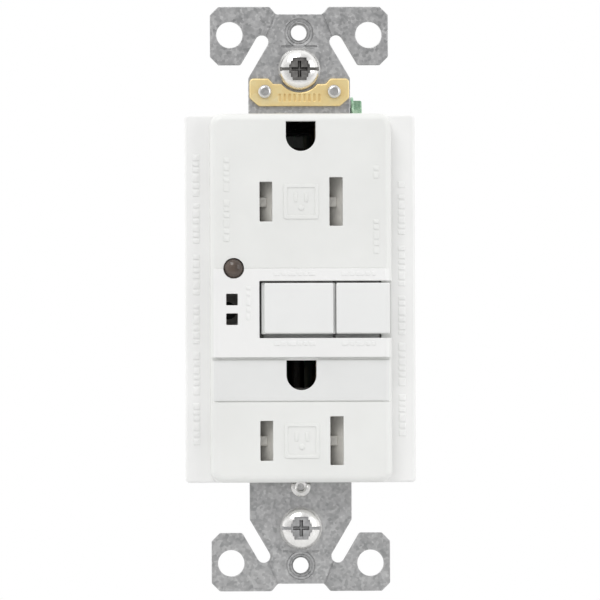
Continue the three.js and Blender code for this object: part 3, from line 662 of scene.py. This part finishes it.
def paint_zone_light(piece):
    """Paints light and shade into one plastic: painted light on the raised panel and the wings, painted shade
    on the sunk band.
    """
    for look in (MODULE_WHITE_PAINTED_LIGHT, BAND_WHITE_PAINTED_SHADE, WING_WHITE_PAINTED_LIGHT):
        piece.data.materials.append(look)
    for polygon in piece.data.polygons:
        centre = polygon.center / MM
        if abs(centre.x) > FACE["x"] + 0.01:
            polygon.material_index = 3
        elif ZONES["module"][0][0] - 0.01 <= centre.z <= ZONES["module"][0][1] and centre.y < FACE["front"]:
            polygon.material_index = 1
        elif ZONES["lower"][0][1] < centre.z < ZONES["module"][0][0] and centre.y < BAND_FRONT + 0.2:
            polygon.material_index = 2


# ------------------------------------------------------------------ mounting strap
def strap_corners():
    """The upper right quarter of the strap's outline as (x, z, radius) corners, from the middle outwards."""
    tilt = math.radians(59.6)
    slot, half_width = Vector((6.75, 46.75)), 1.2
    across = Vector((math.sin(tilt), math.cos(tilt)))
    along = Vector((math.cos(tilt), -math.sin(tilt)))
    ear_side = slot + across * half_width
    neck_side = slot - across * half_width
    ear_foot = ear_side + along * ((STRAP["ear_bottom"] - ear_side.y) / along.y)
    neck_foot = neck_side + along * ((STRAP["neck"] - neck_side.x) / along.x)
    turn = math.degrees(math.atan2(across.y, across.x))
    round_end = [(x, z, 0) for x, z in arc(slot, half_width, turn, turn + 180, 10)]
    end, ear, foot = STRAP["end"], STRAP["ear"], STRAP["ear_bottom"]
    chamfer = 1.5
    return [
        (4.2, end - 1.35, 0.5), (5.35, end, 0.5), (ear - chamfer, end, 0.5), (ear, end - chamfer, 0.5),
        (ear, foot + chamfer, 0.5), (ear - chamfer, foot, 0.5), (*ear_foot, 0.6),
        *round_end,
        (*neck_foot, 0.6), (STRAP["neck"], 32.2, 0), (11.0, 32.2, 0), (11.0, 10.5, 0), (8.0, 10.5, 0),
    ]


def score(start, end):
    """A shallow groove across the strap's front, where an ear breaks off."""
    half_width, depth = 0.17, 0.3
    start, end = Vector(start), Vector(end)
    across = (end - start).orthogonal().normalized() * half_width
    outline = [tuple(p) for p in (start - across, end - across, end + across, start + across)]
    if (end - start).cross(across) > 0:
        outline.reverse()
    front = -STRAP["thick"]
    return stack(outline, [(0, front - 1), (0, front + depth)])


def strap():
    quarter = strap_corners()
    upper_right = quarter[::-1]
    upper_left = [(-x, z, r) for x, z, r in quarter]
    lower_left = [(-x, -z, r) for x, z, r in upper_right]
    lower_right = [(x, -z, r) for x, z, r in quarter]
    outline = filleted(upper_right + upper_left + lower_left + lower_right)
    front = -STRAP["thick"]
    plate = slab(outline, front, 0, front=0.12, back=0.12, steps=2)
    tab = slab([(y, z) for y, z in rectangle((front, 9.6), (30.0, 37.2), 0.8)], -0.65, 0.65,
               front=0.1, back=0.1, steps=2)
    moved(tab, (8.6, 0, 0), ("Z", 90))
    tapped = [(0, front - 1), (2.65, front - 1), (2.65, front), (2.45, front + 0.35), (2.1, front + 0.4),
              (1.95, front + 0.2), (1.75, front + 0.2), (1.45, front + 0.6), (1.45, 3), (0, 3)]
    ear_x, ear_z = STRAP["hole"]
    holes = []
    for end in (-1, 1):
        holes += [
            *[drill(circle((side * ear_x, end * ear_z), 2.4), front, 1, 0.1) for side in (-1, 1)],
            drill(centred(0, end * SCREW_Z, 3.4, 2.1, 2.05), front, 1, 0.1),
            moved(turned(tapped), (0, 0, end * PLATE_SCREW_Z)),
            drill(centred(0, end * 45.85, 3.3, 0.2, 0.15), front, front + 0.4, 0.06),
            *[score((side * 4.1, end * 52.2), (side * 6.1, end * 47.2)) for side in (-1, 1)],
        ]
    for z in OUTLET_Z.values():
        holes += [drill(centred(0, z, 9.1, 5.4, 0.5), front, 1, 0.08),
                  drill(centred(0, z + PIN_RISE, 3.4, 3.4, 0.3), front, 1, 0.08)]
    rivet_x, rivet_z = CLIP_RIVET
    holes += [drill(circle((side * rivet_x, rivet_z), 0.95), front, 1, 0.06) for side in (-1, 1)]
    holes += [drill(circle((0, STRAP_RIVET_Z), 1.1), front, 1, 0.06),
              drill(circle(RESET_STEM, 2.6), front, 1, 0.08),
              moved(slab(circle((0, 0), 2.2), 5, 12), (0, *EARTH_SCREW[1:]), ("Z", -90))]
    collar = [(0, -0.4), (2.3, -0.4), (2.3, 1.25), (2.15, 1.4), (0, 1.4)]
    collars = [moved(turned(collar), (0, 0, end * PLATE_SCREW_Z)) for end in (-1, 1)]
    return cut(fused(plate, tab, *collars), *holes)


# ------------------------------------------------------------------ screws and rivets
def recess(y0, depth, arms):
    """Tools for a screw recess whose arms, given as half sizes in x and z, narrow as they go in."""
    narrowing = 0.2 * depth
    return [stack(centred(0, 0, *arm), [(0, y0 - 1), (0, y0), (narrowing, y0 + depth)]) for arm in arms]


def cross_recess(y0, depth, reach, width):
    return recess(y0, depth, ((reach, width), (width, reach)))


def recess_painted_shade(piece, z, look):
    """Painted shade down in a box screw's slot and recess: those faces get a darker material."""
    arms = [*SCREW_RECESS, (3.3, SCREW_SLOT)]
    depths = (HEAD_SEAT - 2.15, HEAD_SEAT - 0.4)
    margin = 0.02
    piece.data.materials.append(look)
    for polygon in piece.data.polygons:
        x, y, height = polygon.center / MM
        across, up = abs(x) - margin, abs(height - z) - margin
        in_arm = any(across < half_x and up < half_z for half_x, half_z in arms)
        if in_arm and depths[0] < y < depths[1]:
            polygon.material_index = 1


def box_screw():
    """Truss-head machine screw: slot and cross in a domed head, threaded shank."""
    dome = [(0, -2.2), (1.0, -2.18), (1.9, -2.07), (2.6, -1.86), (3.15, -1.55), (3.55, -1.1), (3.8, -0.55),
            (3.87, -0.2), (3.82, 0), (0, 0)]
    head = cut(turned(dome, 56), block(both(5), (-4, -1.45), both(SCREW_SLOT)),
               *recess(-2.1, 0.5, SCREW_RECESS), *cross_recess(-2.1, 1.6, 1.6, 0.42))
    return gathered(head, threaded(1.68, -0.3, 25.3, THREAD_PITCH))


def terminal_screw():
    """Binding-head screw with a slot and a cross; the head's underside is at y 0."""
    profile = [(0, -2.2), (3.2, -2.2), (3.55, -2.05), (3.9, -1.5), (4.0, -0.6), (4.0, -0.15), (3.9, 0),
               (0, 0)]
    head = cut(turned(profile, 48), block(both(5), (-4, -1.2), both(0.45)),
               *cross_recess(-2.2, 1.5, 1.9, 0.6))
    return gathered(head, threaded(1.95, -0.2, 5.7, THREAD_PITCH))


def case_screw():
    """Pan-head screw with a cross; the head's outer face is at y 0 and the shank runs along +y."""
    profile = [(0, 0.0), (1.9, 0.02), (2.3, 0.2), (2.5, 0.6), (2.5, 1.6), (2.4, 1.7), (0, 1.7)]
    head = cut(turned(profile, 40), *cross_recess(0.0, 1.1, 1.5, 0.42))
    return gathered(head, threaded(1.1, 1.5, 29.5, 0.8, 16, 4))


def earth_screw():
    """Green hex-head screw with a slot; the flange's underside is at y 0 and the shank runs along +y."""
    flange = turned([(0, -0.5), (3.45, -0.5), (3.6, -0.38), (3.6, -0.1), (3.5, 0), (0, 0)], 48)
    hexagon = slab(circle((0, 0), 3.3, 6), -2.0, -0.4, front=0.3, steps=3)
    head = cut(fused(flange, hexagon), block(both(5), (-4, -1.3), both(0.42)))
    return gathered(head, threaded(1.92, -0.2, 4.9, THREAD_PITCH))


def rivet(head, shank, length, dish=0.0):
    """A rivet whose head's underside is at y 0, its shank and clenched end along +y."""
    radius, height = head
    profile = [(0, -height + dish), (radius * 0.35, -height + dish), (radius * 0.5, -height + dish * 0.2),
               (radius * 0.62, -height), (radius * 0.85, -height * 0.75), (radius, -height * 0.25),
               (radius * 0.98, 0), (shank, 0), (shank, length - 0.5), (shank * 1.7, length - 0.4),
               (shank * 1.55, length), (0, length)]
    return turned(profile, 32)


# ------------------------------------------------------------------ brass clip
def clip():
    """Grounding clip: two lobes round the screw head, a row of plain grooves between the rivets."""
    half, bottom, shoulder, top = 9.05, 34.95, 39.0, 40.0
    reach = 4.2
    open_angle = math.degrees(math.asin((SCREW_Z - shoulder) / reach))
    bay = [(x, z, 0) for x, z in arc((0, SCREW_Z), reach, 360 - open_angle, 180 + open_angle, 16)]
    outline = filleted([
        (-half, bottom, 0), (half - 1.7, bottom, 0.5), (half, bottom + 1.5, 0.5), (half, top, 0.7),
        (half - 3.4, top, 0.5), (half - 4.3, shoulder, 0.3), *bay,
        (-half + 4.3, shoulder, 0.3), (-half + 3.4, top, 0.5), (-half, top, 0.7), (-half, bottom + 1.5, 0.5),
        (-half + 1.7, bottom, 0.5)][1:])
    front, back = -2.3, -1.6
    plate = slab(outline, front, back, front=0.25, back=0.05, steps=4)
    rivet_x, rivet_z = CLIP_RIVET
    holes = [drill(circle((side * rivet_x, rivet_z), 0.95), front, 0, 0.25) for side in (-1, 1)]
    groove_x = [-3.6 + 0.9 * i for i in range(9)]
    grooves = [drill(centred(x, 36.5, 0.2, 0.7, 0.19), front, front + 0.3, 0.1) for x in groove_x]
    return cut(plate, *holes, *grooves)


# ------------------------------------------------------------------ buttons and lens
def button(x, skirt_x, flange_x, crown):
    """A cap with a rolled front edge, over a slightly wider skirt and the flange that holds it in."""
    low, high = BUTTON_Z
    cap = slab(rectangle(x, BUTTON_Z, crown), BUTTON_FRONT, SKIRT_FRONT + 0.1, front=crown * 0.98, steps=6)
    skirt = slab(rectangle(skirt_x, (low - 0.1, high + 0.1), 0.25), SKIRT_FRONT, -3.9, front=0.1, steps=2)
    flange_z = (BUTTON_HOLE_Z[0] - 0.7, BUTTON_HOLE_Z[1] + 0.7)
    flange = slab(rectangle(flange_x, flange_z, 0.3), -4.1, -3.3, front=0.1, back=0.1, steps=2)
    return fused(cap, skirt, flange)


def hollow(x):
    """The tool that hollows a button from behind."""
    low, high = BUTTON_Z
    return block(x, (BUTTON_FRONT + 1.6, 0), (low + BUTTON_WALL, high - BUTTON_WALL))


def reset_button():
    left, right = RESET_X
    skirt_x = (left - 0.45, right + 0.42)
    shape = cut(button(RESET_X, skirt_x, RESET_X, 0.32), hollow((left + BUTTON_WALL, right - BUTTON_WALL)))
    hub = slab(circle(RESET_STEM, 2.2), BUTTON_FRONT + 1, -3.3)
    return cut(fused(shape, hub), slab(circle(RESET_STEM, 1.3), BUTTON_FRONT + 1.5, 0))


def test_button():
    left = TEST_X[0]
    side_wall = 14.3  # the cover's wall stands beyond this
    shape = cut(button(TEST_X, TEST_X, (left, side_wall), 0.28), hollow((left + BUTTON_WALL, 13.2)),
                block((side_wall, 18), (-5.9, 0), (-9, 6)))
    stem = slab(circle(TEST_STEM, 1.0, 24), BUTTON_FRONT + 1, 6.3, back=0.3, steps=3)
    return fused(shape, stem)


def lens():
    """Domed indicator lens on its light guide."""
    x, z, radius = LENS
    dome = [(0, -8.35), (0.5, -8.31), (0.95, -8.18), (1.35, -7.95), (1.62, -7.65), (1.77, -7.3),
            (radius, -6.9), (radius, -4.6), (1.2, -4.6), (1.2, 19.3), (1.1, 19.4), (0, 19.4)]
    return moved(turned(dome, 40), (x, 0, z))


# ------------------------------------------------------------------ rear housing
def sunk(outline, depth):
    """The tool for a shallow recess in the back of the housing."""
    return slab(outline, HOUSING["back"] - depth, HOUSING["back"] + 1, front=0.4 * depth, steps=2)


def housing():
    """The moulded case: a seam round it, a label recess, strip gauges, pin marks and ribbed sides."""
    half_x, half_z, seam = HOUSING["x"], HOUSING["z"], HOUSING["seam"]
    groove = cut(slab(centred(0, 0, half_x + 1, half_z + 1), seam, seam + 0.25),
                 slab(centred(0, 0, half_x - 0.2, half_z - 0.2, 1.4), seam - 1, seam + 1))
    tools = [groove, sunk(centred(0, 0, 8.6, 21.4, 1.0), 0.3)]
    tools += [sunk(centred(side * 18.2, end * TERMINAL_Z, 0.35, 5.5, 0.3), 0.3)
              for side in (-1, 1) for end in (-1, 1)]
    pin_marks = ((0, 27.5), (0, -27.5), (-14.3, 0), (14.3, 0), (-14.3, 8.0), (14.3, -8.0))
    tools += [sunk(circle(at, 1.5, 32), 0.12) for at in pin_marks]
    for side in (-1, 1):
        face = sorted((side * (half_x - 0.25), side * (half_x + 1)))
        tools += [block(face, (y, y + 0.8), (-7.5, 7.5)) for y in (5.0, 7.0, 9.0, 11.0, 13.0)]
        tools += [block(face, (21.6, 22.0), (end * 26 - 3.2, end * 26 + 3.2)) for end in (-1, 1)]
    for end in (-1, 1):
        face = sorted((end * (half_z - 0.25), end * (half_z + 1)))
        tools += [block((x, x + 0.4), (3, 17), face) for x in (-9.0, -4.5, 0.0)]
    return cut(baked("rear_housing"), *tools)


def label():
    """The rating label in its recess, printed with plain dashes and two frames of bars."""
    back = HOUSING["back"]
    paper = slab(centred(0, 0, 8.4, 21.2, 0.9), back - 0.28, back - 0.1, back=0.04, steps=2)
    ink = (back - 0.15, back - 0.07)
    left, top, step = -7.0, 18.6, 2.1
    row_ends = (2.1, 3.6, 0.4, 6.9, 5.2, 6.6, 3.0, 6.2, 1.5, 6.8, 4.4, 5.8)
    rows = [dash_row(top - step * i, left, end, 0.3) for i, end in enumerate(row_ends)]
    printed = [slab(outline, *ink) for row in rows for outline in row]
    low = -13.6
    for x in both(4.2):
        window = slab(centred(x, low, 2.3, 3.9, 0.2), 0, 30)
        printed.append(cut(slab(centred(x, low, 2.6, 4.2, 0.3), *ink), window))
    for first in (-5.5, 2.9):
        printed += [slab(centred(first + 0.9 * i, low, 0.2, 2.6), *ink) for i in range(4)]
    return paper, gathered(*printed)


# ------------------------------------------------------------------ shutters
def upright(outline, z):
    """A prism along z; the outline lists (x, y) corners."""
    return moved(stack([(x, -y) for x, y in outline][::-1], [(0, z[0]), (0, z[1])]), turn=("X", 90))


def shutter(z):
    """Slider with a ramp and a small pad under each blade slot, two side rails and a tail for its spring."""
    def ramp(x):
        slope = [(x, -2.9), (x, -3.4), (x + 1.2, -4.33), (x + 2.42, -5.3), (x + 2.6, -5.4), (x + 2.9, -5.4),
                 (x + 2.9, -2.9)]
        return upright(slope, (z - 4.75, z + 4.75))

    pads = [slab(centred(x, z, 0.85, 0.9, 0.2), -5.0, -3.1, front=0.25, steps=4) for x in (-6.95, 5.75)]
    bars = [block((-5.0, 1.6), (-4.0, -2.9), (z - 5.4, z + 5.4)),
            block((-7.8, 7.8), (-4.0, -2.9), (z + 4.6, z + 5.4)),
            block((-7.8, 7.8), (-4.0, -2.9), (z - 5.4, z - 4.6)),
            slab(centred(8.35, z, 0.65, 1.6, 0.2), -5.2, -2.9, front=0.15, steps=2)]
    return fused(ramp(-7.8), ramp(4.9), *pads, *bars)


# ------------------------------------------------------------------ terminals
def clamp_plate():
    """Pressure plate for the right-hand side: a toothed plate with two wire grooves, centred on its hole."""
    wire_z = both(3.1)
    tooth_x = (-3.2, -1.6, 0.0, 1.6, 3.2)
    plate = slab(rectangle(both(4.5), both(4.5), 0.5), 0, 1.3, front=0.15, back=0.15, steps=3)
    grooves = [stack(centred(0, z, 5, 0.85), [(0, -1), (0, -0.1), (0.5, 0.55)]) for z in wire_z]
    teeth = [stack(centred(x, z, 0.12, 1.6), [(0, -1), (0, 0.12)]) for z in wire_z for x in tooth_x]
    return cut(plate, *grooves, gathered(*teeth), drill(circle((0, 0), 2.2), 0, 2, 0.1))


def to_side(shape, side, x, z):
    """Turns a shape whose y runs outwards to face +X or -X, at x on that side."""
    return moved(shape, (side * x, TERMINAL_Y, z), ("Z", -90 * side))


# ------------------------------------------------------------------ the scene
def camera():
    """Almost square on to the face, from a little to the left and below, turned by a hair."""
    data = bpy.data.cameras.new("camera")
    data.sensor_width = 36.0
    data.lens = 400.0
    data.clip_end = 20.0
    seen = bpy.data.objects.new("camera", data)
    width_seen = 0.1090
    aim = Vector((0.0, -STRAP["thick"], -0.25)) * MM
    azimuth, elevation, roll = (math.radians(a) for a in (-2.3, -1.5, -0.22))
    turn = Matrix.Rotation(azimuth, 4, "Z") @ Matrix.Rotation(math.pi / 2 - elevation, 4, "X")
    back = Vector((0, 0, data.lens / data.sensor_width * width_seen))
    tilt = Matrix.Rotation(roll, 4, "Z")
    seen.matrix_world = Matrix.Translation(aim) @ turn @ Matrix.Translation(back) @ tilt
    bpy.context.scene.collection.objects.link(seen)
    bpy.context.scene.camera = seen


def soft_light(name, location, size, power):
    data = bpy.data.lights.new(name, "AREA")
    data.shape = "RECTANGLE"
    data.size, data.size_y = size
    data.energy = power
    lamp = bpy.data.objects.new(name, data)
    lamp.location = location
    lamp.rotation_euler = (-Vector(location)).to_track_quat("-Z", "Y").to_euler()
    bpy.context.scene.collection.objects.link(lamp)


def studio():
    """White surroundings to the eye; a grey front and bright sides for light and reflections."""
    world = bpy.data.worlds.new("studio")
    bpy.context.scene.world = world
    world.use_nodes = True
    nodes, links = world.node_tree.nodes, world.node_tree.links
    nodes.clear()
    direction = nodes.new("ShaderNodeTexCoord").outputs["Generated"]
    split = nodes.new("ShaderNodeSeparateXYZ")
    links.new(direction, split.inputs[0])
    facing = nodes.new("ShaderNodeMapRange")
    facing.inputs["From Min"].default_value = -1.0
    facing.inputs["From Max"].default_value = -0.2
    links.new(split.outputs["Y"], facing.inputs["Value"])
    front = nodes.new("ShaderNodeValToRGB")
    front.color_ramp.elements[0].color = (0.43, 0.43, 0.435, 1)
    front.color_ramp.elements[1].color = (1.1, 1.1, 1.1, 1)
    links.new(facing.outputs["Result"], front.inputs["Fac"])
    around = nodes.new("ShaderNodeBackground")
    links.new(front.outputs["Color"], around.inputs["Color"])
    plain = nodes.new("ShaderNodeBackground")
    plain.inputs["Color"].default_value = (1, 1, 1, 1)
    choose = nodes.new("ShaderNodeMixShader")
    links.new(nodes.new("ShaderNodeLightPath").outputs["Is Camera Ray"], choose.inputs["Fac"])
    links.new(around.outputs[0], choose.inputs[1])
    links.new(plain.outputs[0], choose.inputs[2])
    links.new(choose.outputs[0], nodes.new("ShaderNodeOutputWorld").inputs["Surface"])
    soft_light("key", (-0.2, -0.5, 0.5), (0.35, 0.35), 1.6)
    soft_light("fill", (0.45, -0.45, 0.15), (0.3, 0.4), 0.55)
    bpy.context.scene.view_settings.view_transform = "Standard"


def floor():
    disc = slab(circle((0, 0), 150, 96), 0, 2, front=1.0)
    disc.data.transform(Matrix.Rotation(math.radians(-90), 4, "X"))
    disc.data.transform(Matrix.Translation((0, 0, -70)))
    disc.data.transform(Matrix.Scale(MM, 4))
    disc.name = "floor"
    look = Look("pale_floor")
    disc.data.materials.append(look.colour(look.noise(8), (0.4, grey(0.78)), (0.6, grey(0.8))).rough(
        look.noise(40), 0.6, 0.7).bump(look.noise(300), 0.01))


camera()
studio()
floor()

# The cover's raised panel, sunk band and wings get painted light and shade.
paint_zone_light(place("front_cover_moulding", cover(), WHITE, "device", ["front_cover"]))
place("strap_stamping", strap(), ZINC, "device", ["mounting_strap"])
place("brass_clip", clip(), BRASS, "device", ["grounding_clip"])
for side, hand in ((-1, "left"), (1, "right")):
    shape = moved(rivet((1.2, 0.5), 0.65, 3.4), (side * CLIP_RIVET[0], -2.6, CLIP_RIVET[1]))
    place(f"rivet_{hand}", shape, STEEL, "device", [f"clip_rivet_{hand}"])
shape = moved(rivet((1.75, 0.5), 0.8, 2.4, 0.3), (0, HEAD_SEAT, STRAP_RIVET_Z))
place("rivet_below", shape, STEEL, "device", ["strap_rivet"])
# The top screw's recess gets darker painted shade than the bottom screw's.
for end, z, look in (("top", SCREW_Z, RECESS_PAINTED_DEEP_SHADE), ("bottom", -SCREW_Z, RECESS_PAINTED_LIGHT_SHADE)):
    shape = moved(box_screw(), (0, HEAD_SEAT, z))
    piece = place(f"box_screw_{end}_piece", shape, SCREW_STEEL, f"box_screw_{end}", [f"mounting_screw_{end}"])
    recess_painted_shade(piece, z, look)
for i, (x, z) in enumerate(COLUMNS):
    shape = moved(moved(case_screw(), turn=("Z", 180)), (x, 25.0, z))
    place(f"case_screw_{i + 1}", shape, STEEL, "device", [f"assembly_screw_{i + 1}"])
shape = moved(earth_screw(), EARTH_SCREW, ("Z", 90))
place("green_screw", shape, GREEN, "earth_screw", ["ground_screw"])

place("reset_cap", reset_button(), BUTTON_WHITE, "reset", ["reset_button"])
place("test_cap", test_button(), BUTTON_WHITE, "test", ["test_button"])
place("lens_dome", lens(), LENS_LOOK, "device", ["indicator_lens"])
for outlet, z in OUTLET_Z.items():
    place(f"shutter_slider_{outlet}", shutter(z), SHUTTER, f"{outlet}_shutter", [f"shutter_{outlet}"])

for end, z in (("line", TERMINAL_Z), ("load", -TERMINAL_Z)):
    for pole, side, metal, slot in (("hot", -1, BRASS, "brass"), ("neutral", 1, STEEL, "bright_steel")):
        name = f"{end}_{pole}"
        plate = to_side(clamp_plate(), side, 15.6, z)
        place(f"{name}_plate", plate, metal, f"{name}_jaw", [f"{name}_clamp"])
        screw = to_side(moved(terminal_screw(), turn=("Z", 180)), side, 17.2, z)
        place(f"{name}_binding_screw", screw, metal, f"{name}_driver", [f"{name}_screw"])
        soften(f"{name}_terminal", metal, 0.12)

KEPT = {
    "rear_housing": (GREY, 0.35), "contact_tray": (TRAY, 0.15),
    "screw_retainer_top": (FIBRE, 0.1), "screw_retainer_bottom": (FIBRE, 0.1),
    "ground_contact_upper": (CONTACT, 0.08), "ground_contact_lower": (CONTACT, 0.08),
    "reset_plunger": (STEEL, 0.1),
    "test_contact": (CONTACT, 0.05), "hot_contact_strip": (CONTACT, 0.08),
    "neutral_contact_strip": (CONTACT, 0.08), "hot_contact_arm": (COPPER, 0.06),
    "neutral_contact_arm": (COPPER, 0.06), "latch_carrier": (BLACK, 0.15), "latch_plate": (STEEL, 0.1),
    "solenoid_armature": (IRON, 0.1), "solenoid_frame": (ZINC, 0.1), "solenoid_bobbin": (BLACK, 0.1),
    "solenoid_coil": (WINDING, 0.15), "circuit_board": (BOARD, 0.08), "transformer_boot": (BLACK, 0.2),
    "transformer_core": (FERRITE, 0.25), "varistor": (BLUE, 0.5), "capacitor": (BLACK, 0.3),
    "control_chip": (BLACK, 0.1), "indicator_led": (LENS_LOOK, 0.2), "buzzer": (SOUNDER, 0.3),
}
for node, (look, width) in KEPT.items():
    soften(node, look, width)

for outlet in OUTLET_Z:
    place_spring(f"shutter_spring_{outlet}", 0)
for name in ("reset", "test"):
    place_spring(f"{name}_spring", 1)
place("rear_case", housing(), GREY, "device", ["rear_housing"], smooth_flats)
paper, ink = label()
place("rating_label", paper, PAPER, "device", [])
place("label_print", ink, INK, "device", [])
